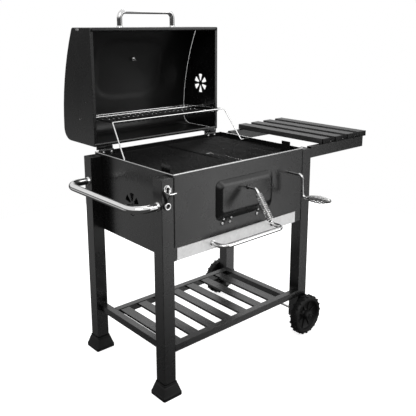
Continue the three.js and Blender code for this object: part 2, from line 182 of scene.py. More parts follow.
# Bare or plated metal: a grey tone, and the roughness of its clean and its smeared parts
def brightMetal(name, tone, low, high):
    look = Look(name)
    smear = look.limited(look.noise(look.place(), metalLook["smears"], 5, 0.6), 0.35, 0.75)
    scratch = look.noise(look.place(metalLook["brush"]), 6, 4, 0.7)
    return look.finish({
        "Base Color": look.blendColours(smear, grey(tone), grey(tone * 0.93, 0.006)),
        "Metallic": 1.0,
        "Roughness": low + (high - low) * smear + 0.03 * scratch,
        "Normal": look.bump(scratch, metalLook["depth"], 0.4),
    })


zincLook = {"tone": 0.76, "crystal": 85, "metal": 0.45, "roughness": 0.32}


def zincSheet():
    look = Look("galvanised sheet")
    where = look.place()
    crystals = look.node("ShaderNodeTexVoronoi", {"feature": "F1"},
                         {"Vector": where, "Scale": zincLook["crystal"]})
    parts = look.node("ShaderNodeSeparateColor", None, {0: look.wire(crystals, "Color")})
    flake = look.wire(parts, 0)
    cloud = look.noise(where, 30, 4)
    colour = look.blendColours(flake, grey(zincLook["tone"] * 0.93), grey(zincLook["tone"] * 1.05))
    return look.finish({
        "Base Color": colour,
        "Metallic": zincLook["metal"],
        "Roughness": zincLook["roughness"] + 0.08 * flake + 0.08 * cloud,
        "Normal": look.bump(cloud, 0.0001, 0.3),
    })


def mouldedPlastic():
    look = Look("moulded plastic")
    where = look.place()
    pebble = look.noise(where, 900, 2)
    cloud = look.noise(where, 12, 4)
    return look.finish({
        "Base Color": look.blendColours(cloud, grey(0.0015), grey(0.003)),
        "Roughness": 0.44 + 0.12 * cloud,
        "Specular IOR Level": 0.3,
        "Normal": look.bump(pebble, 0.00025, 0.5),
    })


def dialEnamel():
    look = Look("dial enamel")
    cloud = look.noise(look.place(), 60, 3)
    return look.finish({
        "Base Color": look.blendColours(cloud, grey(0.78), grey(0.70, 0.02)),
        "Roughness": 0.35 + 0.1 * cloud,
    })


def dialGlass():
    look = Look("dial glass")
    cloud = look.noise(look.place(), 40, 3)
    return look.finish({
        "Base Color": grey(1.0),
        "Roughness": 0.02 + 0.05 * cloud,
        "Transmission Weight": 1.0,
        "IOR": 1.3,
    })


coat = powderCoat("satin black coat", coatLook["dark"], coatLook["light"], coatLook["roughness"])
innerCoat = powderCoat("heat proof black", 0.003, 0.006, 0.40, 0.6)
grateEnamel = powderCoat("grate enamel", 0.0015, 0.003, 0.26, 0.14)
# Bright bare steel for the rim hem: a painted highlight along the rolled edge
hemHighlight = brightMetal("hem highlight steel", 0.62, 0.20, 0.32)
slats = slatCoat()
chrome = brightMetal("chrome plate", 0.80, 0.05, 0.13)
boltSteel = brightMetal("zinc plated fixings", 0.72, 0.18, 0.30)
zinc = zincSheet()
plastic = mouldedPlastic()
dialPaint = dialEnamel()
glass = dialGlass()
print("finishes ready")


# A box between two corners, with its edges rounded if asked
def block(bm, low, high, rounding=0.0, segments=2):
    made = bmesh.ops.create_cube(bm, size=1)["verts"]
    bmesh.ops.scale(bm, vec=high - low, verts=made)
    bmesh.ops.translate(bm, vec=(low + high) / 2, verts=made)
    if rounding:
        edges = list({edge for vert in made for edge in vert.link_edges})
        bmesh.ops.bevel(bm, geom=edges, offset=rounding, segments=segments, profile=0.5,
                        affect="EDGES", clamp_overlap=True, material=-1)


# A rotation that carries +Z onto a direction, placed at a point
def facing(point, direction):
    return Matrix.Translation(point) @ direction.to_track_quat("Z", "Y").to_matrix().to_4x4()


# A straight rod, or a cone where its end radius differs
def rod(bm, start, end, radius, sides, endRadius=None):
    bmesh.ops.create_cone(bm, cap_ends=True, segments=sides, radius1=radius,
                          radius2=radius if endRadius is None else endRadius, depth=(end - start).length,
                          matrix=facing((start + end) / 2, end - start))


# Bolt head: a low dome on a thin washer, or a hexagon
def bolt(bm, point, direction, radius, hexagon=False):
    direction = direction.normalized()
    rod(bm, point, point + direction * radius * 0.3, radius * 1.5, 20)
    if hexagon:
        rod(bm, point, point + direction * radius * 1.1, radius, 6, radius * 0.94)
        return
    place = facing(point + direction * radius * 0.2, direction) @ Matrix.Diagonal((1, 1, 0.7, 1))
    bmesh.ops.create_uvsphere(bm, u_segments=16, v_segments=8, radius=radius, matrix=place)


# Straight runs with round bends, as a list of points
def rounded(corners, bend, steps):
    points = [corners[0]]
    for before, corner, after in zip(corners, corners[1:], corners[2:]):
        back = (before - corner).normalized()
        ahead = (after - corner).normalized()
        half = back.angle(ahead) / 2
        centre = corner + (back + ahead).normalized() * bend / math.sin(half)
        spoke = corner + back * bend / math.tan(half) - centre
        axis = spoke.cross(corner + ahead * bend / math.tan(half) - centre).normalized()
        for step in range(steps + 1):
            points.append(Matrix.Rotation((math.pi - 2 * half) * step / steps, 3, axis) @ spoke + centre)
    return points + [corners[-1]]


# A face carried along a line of points, turning with it
def sweep(bm, points, face):
    tangents = []
    for i in range(len(points)):
        tangents.append((points[min(i + 1, len(points) - 1)] - points[max(i - 1, 0)]).normalized())
    for i in range(1, len(points)):
        grown = bmesh.ops.extrude_face_region(bm, geom=[face])["geom"]
        face = [part for part in grown if isinstance(part, bmesh.types.BMFace)][0]
        turn = tangents[i - 1].rotation_difference(tangents[i]).to_matrix().to_4x4()
        move = Matrix.Translation(points[i]) @ turn @ Matrix.Translation(-points[i - 1])
        bmesh.ops.transform(bm, matrix=move, verts=face.verts)


# A round bar along a line of points, closed at both ends
def tube(bm, points, radius, sides):
    start = bmesh.ops.create_circle(bm, cap_ends=True, radius=radius, segments=sides,
                                    matrix=facing(points[0], points[1] - points[0]))
    sweep(bm, points, start["verts"][0].link_faces[0])


# A flat strap carried along points in a plane of constant X
def strap(bm, points, width, thickness):
    made = bmesh.ops.create_grid(bm, x_segments=1, y_segments=1, size=0.5)["verts"]
    along = (points[1] - points[0]).normalized()
    side = Vector((1, 0, 0))
    across = along.cross(side)
    place = Matrix((side * width, across * thickness, along)).transposed().to_4x4()
    bmesh.ops.transform(bm, matrix=Matrix.Translation(points[0]) @ place, verts=made)
    sweep(bm, points, made[0].link_faces[0])


# A line of points spun a full turn about an axis
def lathe(bm, points, centre, axis, steps):
    verts = [bm.verts.new(point) for point in points]
    edges = [bm.edges.new(pair) for pair in zip(verts, verts[1:])]
    bmesh.ops.spin(bm, geom=verts + edges, cent=centre, axis=axis, angle=2 * math.pi, steps=steps,
                   use_merge=True)
    bmesh.ops.remove_doubles(bm, verts=bm.verts, dist=1e-6)


# A closed ring of points in the plane of two directions
def circlePoints(centre, radius, steps, a, b):
    angles = [2 * math.pi * i / steps for i in range(steps + 1)]
    return [centre + a * radius * math.cos(angle) + b * radius * math.sin(angle) for angle in angles]


# A finished piece: what it is made of, the body it rides on and the nodes it replaces
def piece(name, bm, material, body, nodes, outward=True, sharp=35, smooth=True):
    if outward:
        bmesh.ops.recalc_face_normals(bm, faces=bm.faces)
    mesh = bpy.data.meshes.new(name)
    bm.to_mesh(mesh)
    bm.free()
    if smooth:
        mesh.shade_smooth()
        mesh.set_sharp_from_angle(angle=math.radians(sharp))
    made = bpy.data.objects.new(name, mesh)
    bpy.context.scene.collection.objects.link(made)
    mesh.materials.append(material)
    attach(made, body)
    if nodes:
        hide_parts(*nodes)
    return made


# The CAD solid with its edges broken, so that they catch the light; its broad faces stay flat
def eased(node, material, body, rounding, segments=2):
    bm = bmesh.new()
    bm.from_mesh(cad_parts[node].data)
    bmesh.ops.remove_doubles(bm, verts=bm.verts, dist=1e-5)
    bmesh.ops.dissolve_limit(bm, angle_limit=math.radians(0.5), verts=bm.verts, edges=bm.edges)
    edges = [edge for edge in bm.edges if edge.is_manifold and edge.calc_face_angle() > math.radians(32)]
    bmesh.ops.bevel(bm, geom=edges, offset=rounding, segments=segments, profile=0.5,
                    affect="EDGES", clamp_overlap=True, material=-1)
    for face in bm.faces:
        area = face.calc_area()
        face.smooth = area < 3e-5 or area < 0.9 * rounding * face.calc_perimeter()
    piece(node + "_eased", bm, material, body, (node,), outward=False, smooth=False)


for node in ("front_panel", "rear_panel", "left_panel", "right_panel"):
    eased(node, coat, "trolley", 0.0007)
eased("firebox_vent_disc", coat, "firebox_vent", 0.0004)
eased("charcoal_tray", innerCoat, "tray", 0.0005)
for node in ("front_left_leg", "rear_left_leg", "front_right_leg", "rear_right_leg"):
    eased(node, coat, "trolley", 0.0016, 3)
for node in ("front_table_rail", "rear_table_rail", "front_shelf_rail", "left_shelf_rail",
             "right_shelf_rail", "rear_shelf_rail"):
    eased(node, coat, "trolley", 0.0012, 3)
for number in range(1, 8):
    eased(f"shelf_slat_{number}", coat, "trolley", 0.0012, 3)
for number in range(1, 5):
    eased(f"table_slat_{number}", slats, "trolley", 0.0014, 3)

rim = {"radius": 0.0021, "lift": 758.0}


# A rolled hem along the front and both ends of the firebox, in bright bare steel as a painted highlight
# along the rim
def rimHem():
    bm = bmesh.new()
    low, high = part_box("front_panel")[0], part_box("rear_panel")[1]
    width = (high.x - low.x) * 1000
    depth = (high.y - low.y) * 1000
    for start, end in (((0, 1), (width, 1)), ((width - 1, 0), (width - 1, depth)),
                       ((1, depth), (1, 0))):
        rod(bm, at(*start, rim["lift"]), at(*end, rim["lift"]), rim["radius"], 10)
    piece("rim_hem", bm, hemHighlight, "trolley", ())


rimHem()

caps = {"side": 19.5, "lift": 0.9, "rounding": 0.0008}


# Shallow coated caps that close the four leg tops
def legCaps():
    bm = bmesh.new()
    for node in ("front_left_leg", "rear_left_leg", "front_right_leg", "rear_right_leg"):
        low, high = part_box(node)
        middle = (low + high) / 2
        reach = Vector((caps["side"] / 1000, caps["side"] / 1000, 0))
        bottom = Vector((middle.x, middle.y, high.z - 0.001)) - reach
        top = Vector((middle.x, middle.y, high.z + caps["lift"] / 1000)) + reach
        block(bm, bottom, top, caps["rounding"], 3)
    piece("leg_caps", bm, coat, "trolley", ())


legCaps()

gap_shade = {"inset": 0.2, "width": 4, "proud": 0.3, "deep": 0.4, "z": (520, 750)}


# Painted shade: near-black strips where the front panel meets the legs, standing in for the shadowed gap
# there
def paintedGapShade():
    bm = bmesh.new()
    width = (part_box("front_panel")[1].x - home.x) * 1000
    z0, z1 = gap_shade["z"]
    for x in (gap_shade["inset"], width - gap_shade["inset"] - gap_shade["width"]):
        block(bm, at(x, -gap_shade["proud"], z0), at(x + gap_shade["width"], gap_shade["deep"], z1))
    # These strips are painted shade, made in the near-black grate enamel
    piece("painted_gap_shade", bm, grateEnamel, "trolley", ())


paintedGapShade()

ends = {"over": 0.0003, "front": (-2.7, 3.5), "rear": (460.5, 464.8), "rounding": 0.0008}


# Black caps in both ends of the table slats
def slatEnds():
    bm = bmesh.new()
    over = Vector((0, 0, ends["over"]))
    for number in range(1, 5):
        low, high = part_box(f"table_slat_{number}")
        for y0, y1 in (ends["front"], ends["rear"]):
            bottom = Vector((low.x, at(0, y0, 0).y, low.z)) - over
            top = Vector((high.x, at(0, y1, 0).y, high.z)) + over
            block(bm, bottom, top, ends["rounding"])
    piece("table_slat_ends", bm, plastic, "trolley", ())


slatEnds()
print("firebox, legs and rails done")

feet = {
    "levels": ((36.5, 0), (38, 1.5), (38, 13), (36.5, 15), (28.5, 41), (26.8, 43), (26.5, 49),
               (25.5, 50), (23.7, 50), (23.5, 15)),
    "corner": 0.005,
}


# A boot: one square face carried up through its levels, then back down into the socket for the leg
def foot(node):
    low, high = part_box(node)
    centre = (low + high) / 2
    bm = bmesh.new()
    half, height = feet["levels"][0]
    made = bmesh.ops.create_grid(bm, x_segments=1, y_segments=1, size=half / 1000)["verts"]
    bmesh.ops.bevel(bm, geom=made, offset=feet["corner"], segments=4, profile=0.5,
                    affect="VERTICES", material=-1)
    bmesh.ops.translate(bm, vec=(centre.x, centre.y, height / 1000), verts=bm.verts)
    face = bm.faces[:][0]
    for nextHalf, nextHeight in feet["levels"][1:]:
        grown = bmesh.ops.extrude_face_region(bm, geom=[face])["geom"]
        face = [part for part in grown if isinstance(part, bmesh.types.BMFace)][0]
        middle = Vector((centre.x, centre.y, height / 1000))
        bmesh.ops.scale(bm, vec=(nextHalf / half, nextHalf / half, 1), space=Matrix.Translation(-middle),
                        verts=face.verts)
        bmesh.ops.translate(bm, vec=(0, 0, (nextHeight - height) / 1000), verts=face.verts)
        half, height = nextHalf, nextHeight
    piece(node + "_boot", bm, plastic, "trolley", (node,))


foot("front_foot")
foot("rear_foot")

wheels = {
    "tyre": ((63, 6.5), (66, 6.1), (72, 6.6), (76, 9), (76.6, 13), (76.6, 27), (75.6, 32), (71, 37.6),
             (65, 38.8), (60.5, 38), (58, 34), (56.5, 28), (50, 24), (30, 22.5), (24, 23), (20.5, 27),
             (19, 41), (17, 44.4), (9, 45.4), (8.5, 43.5), (5.2, 43.5), (5.2, 6.5), (20, 6.5), (22, 13),
             (56, 13), (59, 6.5), (63, 6.5)),
    "sink": 0.006,
    "lugs": 40,
    "lug": (0.0056, 0.0150, 0.0066),
    "lugRadius": 0.0761,
    "lugRows": (0.0270, 0.0140),
    "lugSkew": 18,
    "spokes": 8,
    "spoke": (0.039, 0.010, 0.0048),
    "spokeRadius": 0.038,
    "spokeRow": 0.0225,
    "spokeRounding": 0.0012,
}


# Wheel: a profile of radius and distance out from the legs, spun round the axle, with two rows of
# lugs and a ring of spokes; direction is -1 in front and 1 behind
def wheel(node, body, direction):
    low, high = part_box(node)
    centre = (low + high) / 2
    inner = high.y if direction < 0 else low.y
    inner -= direction * wheels["sink"]
    bm = bmesh.new()
    profile = [Vector((centre.x + radius / 1000, inner + direction * out / 1000, centre.z))
               for radius, out in wheels["tyre"]]
    lathe(bm, profile, centre, (0, 1, 0), 88)
    for i in range(wheels["lugs"]):
        lug = bmesh.ops.create_cube(bm, size=1)["verts"]
        bmesh.ops.scale(bm, vec=wheels["lug"], verts=lug)
        side = wheels["lugRows"][i % 2]
        turn = Matrix.Rotation(2 * math.pi * i / wheels["lugs"], 4, "Y")
        skew = Matrix.Rotation(math.radians(wheels["lugSkew"] * (1 if i % 2 else -1)), 4, "X")
        place = Matrix.Translation((centre.x, inner + direction * side, centre.z)) @ turn
        bmesh.ops.transform(bm, matrix=place @ Matrix.Translation((wheels["lugRadius"], 0, 0)) @ skew,
                            verts=lug)
    for i in range(wheels["spokes"]):
        rib = bmesh.ops.create_cube(bm, size=1)["verts"]
        bmesh.ops.scale(bm, vec=wheels["spoke"], verts=rib)
        edges = list({edge for vert in rib for edge in vert.link_edges})
        bevelled = bmesh.ops.bevel(bm, geom=edges, offset=wheels["spokeRounding"], segments=2,
                                   profile=0.5, affect="EDGES", clamp_overlap=True, material=-1)
        turn = Matrix.Rotation(2 * math.pi * (i + 0.5) / wheels["spokes"], 4, "Y")
        place = Matrix.Translation((centre.x, inner + direction * wheels["spokeRow"], centre.z)) @ turn
        bmesh.ops.transform(bm, matrix=place @ Matrix.Translation((wheels["spokeRadius"], 0, 0)),
                            verts=bevelled["verts"])
    piece(node + "_moulded", bm, plastic, body, (node,))


wheel("front_wheel", "front_wheel", -1)
wheel("rear_wheel", "rear_wheel", 1)

axle = {"radius": 0.005, "short": 0.002, "capPlace": 0.0045, "cap": 0.0057}


# Axle rod with a pressed cap at each end
def axleRod():
    low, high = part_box("axle")
    centre = (low + high) / 2
    bm = bmesh.new()
    front = Vector((centre.x, low.y + axle["short"], centre.z))
    rear = Vector((centre.x, high.y - axle["short"], centre.z))
    rod(bm, front, rear, axle["radius"], 20)
    piece("axle_rod", bm, boltSteel, "trolley", ("axle",))
    hubs = bmesh.new()
    for y, direction in ((low.y + axle["capPlace"], -1), (high.y - axle["capPlace"], 1)):
        bolt(hubs, Vector((centre.x, y, centre.z)), Vector((0, direction, 0)), axle["cap"])
    piece("axle_caps", hubs, plastic, "trolley", ())


axleRod()
print("feet and wheels done")

tubes = {
    "side": {"radius": 12.5, "bend": 48, "washer": 15.5},
    "lid": {"radius": 10, "bend": 26, "washer": 14},
    "drawer": {"radius": 8, "bend": 24, "washer": 12},
}


# A bent tube handle with a flat washer and a ferrule at each root
def handle(name, corners, kind, body, node):
    size = tubes[kind]
    bm = bmesh.new()
    corners = [at(*corner) for corner in corners]
    tube(bm, rounded(corners, size["bend"] / 1000, 12), size["radius"] / 1000, 24)
    for root, inward in ((corners[0], corners[1]), (corners[-1], corners[-2])):
        out = (inward - root).normalized()
        rod(bm, root, root + out * 0.0025, size["washer"] / 1000, 28, size["washer"] / 1000 - 0.001)
        rod(bm, root + out * 0.002, root + out * 0.006, size["radius"] / 1000 + 0.0022, 24,
            size["radius"] / 1000 + 0.0004)
    piece(name, bm, chrome, body, (node,))


legLow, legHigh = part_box("front_left_leg")
sideRoot = (legLow.x - home.x) * 1000 - 0.4
middleFront = (legLow.y + legHigh.y - 2 * home.y) * 500
rearLow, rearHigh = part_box("rear_left_leg")
middleRear = (rearLow.y + rearHigh.y - 2 * home.y) * 500
handle("side_handle_tube",
       ((sideRoot, middleFront, 662), (-130, middleFront, 662), (-130, middleRear, 662),
        (sideRoot, middleRear, 662)),
       "side", "trolley", "side_handle")
handle("lid_handle_tube", ((184, 551, 1200.3), (184, 551, 1260), (436, 551, 1260), (436, 551, 1200.3)),
       "lid", "lid", "lid_handle")
handle("drawer_handle_tube", ((162, -0.4, 497), (162, -54, 497), (458, -54, 497), (458, -0.4, 497)),
       "drawer", "drawer", "drawer_handle")

opener = {
    "middle": -25, "dome": 719, "lip": 27, "strap": 10, "thick": 2.4, "ring": 664.5,
    "ringRadius": 0.0096, "ringWire": 0.0027, "screw": 0.0036,
    "lipLine": ((-1.9, 722), (-1.9, 713), (-31, 710.5)),
    "curlLine": ((-30, 709), (-17, 701), (-8, 686), (-5, 674)),
    "section": ((3.2, -2.4), (5, -3.6), (9, -4.2), (12, -3.2), (13.5, -0.5), (3.2, -0.5), (3.2, -2.4)),
}


# Bottle opener: a domed plate with a screw, a wide lip that stands forward, and a strap that curls
# back to a ring
def bottleOpener():
    x = opener["middle"]
    thick = opener["thick"] / 1000
    across, up = Vector((1, 0, 0)), Vector((0, 0, 1))
    bm = bmesh.new()
    centre = at(x, 0, opener["dome"])
    section = [centre + Vector((radius / 1000, y / 1000, 0)) for radius, y in opener["section"]]
    lathe(bm, section, centre, (0, 1, 0), 32)
    lip = rounded([at(x, *place) for place in opener["lipLine"]], 0.004, 6)
    strap(bm, lip, opener["lip"] / 1000, thick)
    curl = rounded([at(x, *place) for place in opener["curlLine"]], 0.012, 6)
    strap(bm, curl, opener["strap"] / 1000, thick)
    ring = circlePoints(at(x - 2, -5, opener["ring"]), opener["ringRadius"], 32, across, up)
    tube(bm, ring, opener["ringWire"], 10)
    piece("bottle_opener_bent", bm, chrome, "trolley", ("bottle_opener",))
    screw = bmesh.new()
    bolt(screw, at(x, -3.4, opener["dome"]), Vector((0, -1, 0)), opener["screw"])
    piece("opener_screw", screw, plastic, "trolley", ())


bottleOpener()
print("handles and opener done")

door = {"plate": (177, 449, 567.2, 706), "back": -1.4, "corner": 22, "edge": 7,
        "face": (196, 431, 598, 687), "proud": 13.6, "fold": 0.008, "sheet": 0.0012}


# Fire door: one pressed sheet, a flat border with a wide slope up to the raised panel
def fireDoor():
    x0, x1, z0, z1 = door["plate"]
    y = door["back"]
    bm = bmesh.new()
    corners = [at(x0, y, z0), at(x1, y, z0), at(x1, y, z1), at(x0, y, z1)]
    verts = [bm.verts.new(corner) for corner in corners]
    bm.faces.new(verts)
    bmesh.ops.bevel(bm, geom=verts, offset=door["corner"] / 1000, segments=6, profile=0.5,
                    affect="VERTICES", material=-1)
    bmesh.ops.inset_region(bm, faces=bm.faces[:], thickness=door["edge"] / 1000, use_even_offset=True)
    middle = at((x0 + x1) / 2, y, (z0 + z1) / 2)
    face = min(bm.faces, key=lambda one: (one.calc_center_median() - middle).length)
    grown = bmesh.ops.extrude_face_region(bm, geom=[face])["geom"]
    face = [part for part in grown if isinstance(part, bmesh.types.BMFace)][0]
    p0, p1, q0, q1 = door["face"]
    width = x1 - x0 - 2 * door["edge"]
    height = z1 - z0 - 2 * door["edge"]
    shrink = Vector(((p1 - p0) / width, 1, (q1 - q0) / height))
    bmesh.ops.scale(bm, vec=shrink, space=Matrix.Translation(-middle), verts=face.verts)
    move = at((p0 + p1) / 2, y - door["proud"], (q0 + q1) / 2) - middle
    bmesh.ops.translate(bm, vec=move, verts=face.verts)
    bmesh.ops.bevel(bm, geom=face.edges[:], offset=door["fold"], segments=6, profile=0.5,
                    affect="EDGES", clamp_overlap=True, material=-1)
    made = piece("fire_door_pressing", bm, coat, "fire_door", ("fire_door",), outward=False)
    wall = made.modifiers.new("wall", "SOLIDIFY")
    wall.thickness = door["sheet"]
    wall.offset = -1


fireDoor()

hinges = {"doors": (229, 397), "pivot": (-3.6, 563.5), "knuckle": 13.2, "radius": 0.0032, "pin": 0.0015,
          "rivets": (-23, 12), "fixed": 556.6, "moving": 572, "fixedRivet": 0.0029, "movingRivet": 0.0027,
          "strap": ((-28, -3.2, 568), (22, -2.2, 575)), "tongue": ((-8, -3.6, 564.5), (8, -2.3, 569)),
          "plate": ((-29, -1.8, 550), (20, -0.3, 559.4)), "ear": 4.8}


# Door hinges: knuckles on both bodies and four bright rivets each
def doorHinges():
    y, z = hinges["pivot"]
    ear = hinges["ear"]
    fixed = bmesh.new()
    moving = bmesh.new()
    fixedRivets = bmesh.new()
    movingRivets = bmesh.new()
    forward = Vector((0, -1, 0))
    for x in hinges["doors"]:
        rod(moving, at(x - 8, y, z), at(x + 8, y, z), hinges["radius"], 16)
        block(moving, *[beside(x, place) for place in hinges["strap"]], 0.0004)
        block(moving, *[beside(x, place) for place in hinges["tongue"]], 0.0003)
        block(fixed, *[beside(x, place) for place in hinges["plate"]], 0.0004)
        for side in (-1, 1):
            middle = x + side * hinges["knuckle"]
            rod(fixed, at(middle - ear, y, z), at(middle + ear, y, z), hinges["radius"], 16)
            block(fixed, at(middle - ear, -1.8, 558), at(middle + ear, -0.4, z), 0.0003)
        for away in hinges["rivets"]:
            bolt(fixedRivets, at(x + away, -1.8, hinges["fixed"]), forward, hinges["fixedRivet"])
            bolt(movingRivets, at(x + away + 5, -3.2, hinges["moving"]), forward, hinges["movingRivet"])
        rod(fixed, at(x - 19, y, z), at(x + 19, y, z), hinges["pin"], 10)
    piece("door_hinge_plates", fixed, coat, "trolley", ("left_door_hinge", "right_door_hinge"))
    piece("door_hinge_straps", moving, coat, "fire_door", ())
    piece("door_hinge_rivets", fixedRivets, boltSteel, "trolley", ())
    piece("door_strap_rivets", movingRivets, boltSteel, "fire_door", ())


doorHinges()

latch = {
    "x": 313, "z": 668, "elbow": -54, "end": (-128, 570), "rod": 4.8, "coil": 10.8, "wire": 1.9,
    "turns": 16, "steps": 14,
    "boss": ((4.7, -15.2), (9, -15.2), (9, -16.2), (6.6, -17.2), (4.7, -17.4), (4.7, -15.2)),
}


# Latch: a bent rod with a close-wound coil for the hand, and the boss and catch that turn with it
def doorLatch():
    x, z = latch["x"], latch["z"]
    elbow = at(x, latch["elbow"], z)
    end = at(x, *latch["end"])
    bm = bmesh.new()
    tube(bm, rounded([at(x, -6, z), elbow, end], 0.012, 8), latch["rod"] / 1000, 16)
    down = (end - elbow).normalized()
    side = Vector((1, 0, 0))
    up = down.cross(side)
    first = elbow + down * 0.014
    last = end - down * 0.001
    count = latch["turns"] * latch["steps"]
    points = []
    for i in range(count + 1):
        angle = 2 * math.pi * i / latch["steps"]
        share = i / count
        radius = latch["coil"] / 1000 * min(1, 0.55 + 7 * share, 0.55 + 7 * (1 - share))
        spoke = side * math.cos(angle) + up * math.sin(angle)
        points.append(first.lerp(last, share) + spoke * radius)
    tube(bm, points, latch["wire"] / 1000, 7)
    piece("door_latch_handle", bm, chrome, "latch", ("door_latch",), sharp=50)
    boss = bmesh.new()
    centre = at(x, 0, z)
    profile = [centre + Vector((radius / 1000, y / 1000, 0)) for radius, y in latch["boss"]]
    lathe(boss, profile, centre, (0, 1, 0), 32)
    block(boss, at(x - 5, -10.5, z - 6), at(x + 5, -8.5, z + 20), 0.0006)
    piece("latch_boss", boss, coat, "latch", ())


doorLatch()
print("fire door done")

eased("ash_drawer", zinc, "drawer", 0.0004)

crank = {"x": 543, "z": 679, "arm": (552, -62, 593), "tip": (552, -186, 606), "rod": 5.2, "rear": 466,
         "lever": 60, "levers": ((26, 1), (430, -1)), "pin": 0.004, "grip": (18, 119), "belly": 8.2,
         "neck": 4.4, "wires": 8, "twist": 0.7, "wire": 2.0, "steps": 26, "collar": 0.0072}


# Crank: a bent rod with a twisted wire grip, and the two lift levers inside the firebox
def crankRod():
    x, z = crank["x"], crank["z"]
    arm, tip = at(*crank["arm"]), at(*crank["tip"])
    bm = bmesh.new()
    corners = [at(x, crank["rear"], z), at(x, crank["arm"][1], z), arm, tip]
    tube(bm, rounded(corners, 0.013, 8), crank["rod"] / 1000, 16)
    for y, way in crank["levers"]:
        block(bm, at(x - crank["lever"] - 7, y - 2, z - 6), at(x + 6, y + 2, z + 6), 0.001)
        pin = x - crank["lever"]
        rod(bm, at(pin, y, z), at(pin, y + way * 14, z), crank["pin"], 14)
    piece("crank_rod", bm, chrome, "crank", ("crank",))

    basket = bmesh.new()
    out = (tip - arm).normalized()
    side = Vector((1, 0, 0))
    up = side.cross(out)
    first, last = (arm + out * share / 1000 for share in crank["grip"])
    steps = crank["steps"]
    for wire in range(crank["wires"]):
        points = []
        for i in range(steps + 1):
            share = i / steps
            angle = 2 * math.pi * (wire / crank["wires"] + crank["twist"] * share)
            radius = (crank["neck"] + crank["belly"] * math.sin(math.pi * share) ** 0.75) / 1000
            spoke = side * math.cos(angle) + up * math.sin(angle)
            points.append(first.lerp(last, share) + spoke * radius)
        tube(basket, points, crank["wire"] / 1000, 8)
    for end in (first, last):
        rod(basket, end - out * 0.003, end + out * 0.003, crank["collar"], 20)
    piece("crank_grip_basket", basket, chrome, "crank", ("crank_grip",), sharp=50)


crankRod()
print("crank done")

grates = {"bar": 1.3, "frame": 2.2, "pitch": 13, "top": 743.8, "cross": (0.25, 0.5, 0.75),
          "crossRadius": 0.002}


# Cooking grate: thin bars along the trolley on three cross wires, inside a wire frame
def cookingGrate(node):
    low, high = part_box(node)
    inset = grates["frame"] / 1000
    top = grates["top"] / 1000
    bm = bmesh.new()
    frameZ = top - inset
    corners = [Vector((low.x + inset, low.y + inset, frameZ)),
               Vector((high.x - inset, low.y + inset, frameZ)),
               Vector((high.x - inset, high.y - inset, frameZ)),
               Vector((low.x + inset, high.y - inset, frameZ))]
    for start, end in zip(corners, corners[1:] + corners[:1]):
        rod(bm, start, end, inset, 12)
    bars = round((high.y - low.y - 2 * inset) * 1000 / grates["pitch"])
    for i in range(1, bars):
        y = low.y + inset + (high.y - low.y - 2 * inset) * i / bars
        rod(bm, Vector((low.x + inset, y, top - grates["bar"] / 1000)),
            Vector((high.x - inset, y, top - grates["bar"] / 1000)), grates["bar"] / 1000, 8)
    for share in grates["cross"]:
        x = low.x + (high.x - low.x) * share
        z = top - 2.9 * grates["bar"] / 1000
        rod(bm, Vector((x, low.y + inset, z)), Vector((x, high.y - inset, z)), grates["crossRadius"], 10)
    piece(node + "_wires", bm, grateEnamel, "trolley", (node,))


cookingGrate("left_cooking_grate")
cookingGrate("right_cooking_grate")

rack = {"pivot": (567, 864.6), "pins": (4.5, 615.5), "front": (395, 870), "tail": (620, 862.9),
        "x": (46, 574), "wire": 2.5, "cross": 1.5, "pitch": 23, "dip": 9, "link": (306, 750)}


# Warming rack: two rails, thin cross wires that dip between them, and a bent link at each end
def warmingRack():
    y0, z0 = rack["tail"]
    y1, z1 = rack["front"]
    x0, x1 = rack["x"]
    thick = rack["wire"] / 1000
    bm = bmesh.new()
    leftPin, rightPin = rack["pins"]
    rod(bm, at(leftPin, *rack["pivot"]), at(rightPin, *rack["pivot"]), thick, 14)
    rod(bm, at(x0, y0, z0), at(x1, y0, z0), thick * 0.8, 14)
    rod(bm, at(x0, y1, z1), at(x1, y1, z1), thick, 14)
    for x in (x0 + 2.5, x1 - 2.5):
        rod(bm, at(x, y0, z0), at(x, y1, z1), thick, 14)
    count = round((x1 - x0) / rack["pitch"])
    for i in range(1, count):
        x = x0 + (x1 - x0) * i / count
        run = [at(x, y0, z0 + 2), at(x, y0 - 7, z0 - rack["dip"]),
               at(x, y1 + 7, z1 - rack["dip"]), at(x, y1, z1 + 2)]
        tube(bm, rounded(run, 0.003, 4), rack["cross"] / 1000, 8)
    piece("warming_rack_wires", bm, chrome, "rack", ("warming_rack",))
    width = (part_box("front_panel")[1].x - home.x) * 1000
    for side, body in (("left", "left_link"), ("right", "right_link")):
        route = [(2.5, *rack["link"]), (25, *rack["link"]), (38, y1, z1), (x0 - 0.4, y1, z1)]
        if side == "right":
            route = [(width - x, y, z) for x, y, z in route]
        link = bmesh.new()
        tube(link, rounded([at(*point) for point in route], 0.003, 5), thick, 12)
        piece(side + "_link_wire", link, chrome, body, (side + "_rack_link",))


warmingRack()
print("grates and rack done")

lid = {"x": (9.3, 610.7), "sheet": 2.0, "bend": 46, "corner": 12, "panel": (300, 1036, 150, 112),
       "press": 2.6, "columns": 72, "rim": 473, "first": 480, "step": 12, "lowHem": (784, 778, 773),
       "highHem": (1199, 1193, 1187), "bendCentre": (652, 818), "backY": (697, 607),
       "backZ": (818, 1010, 1192.3), "cornerCentre": (596.2, 1187), "cornerStart": 0.456}


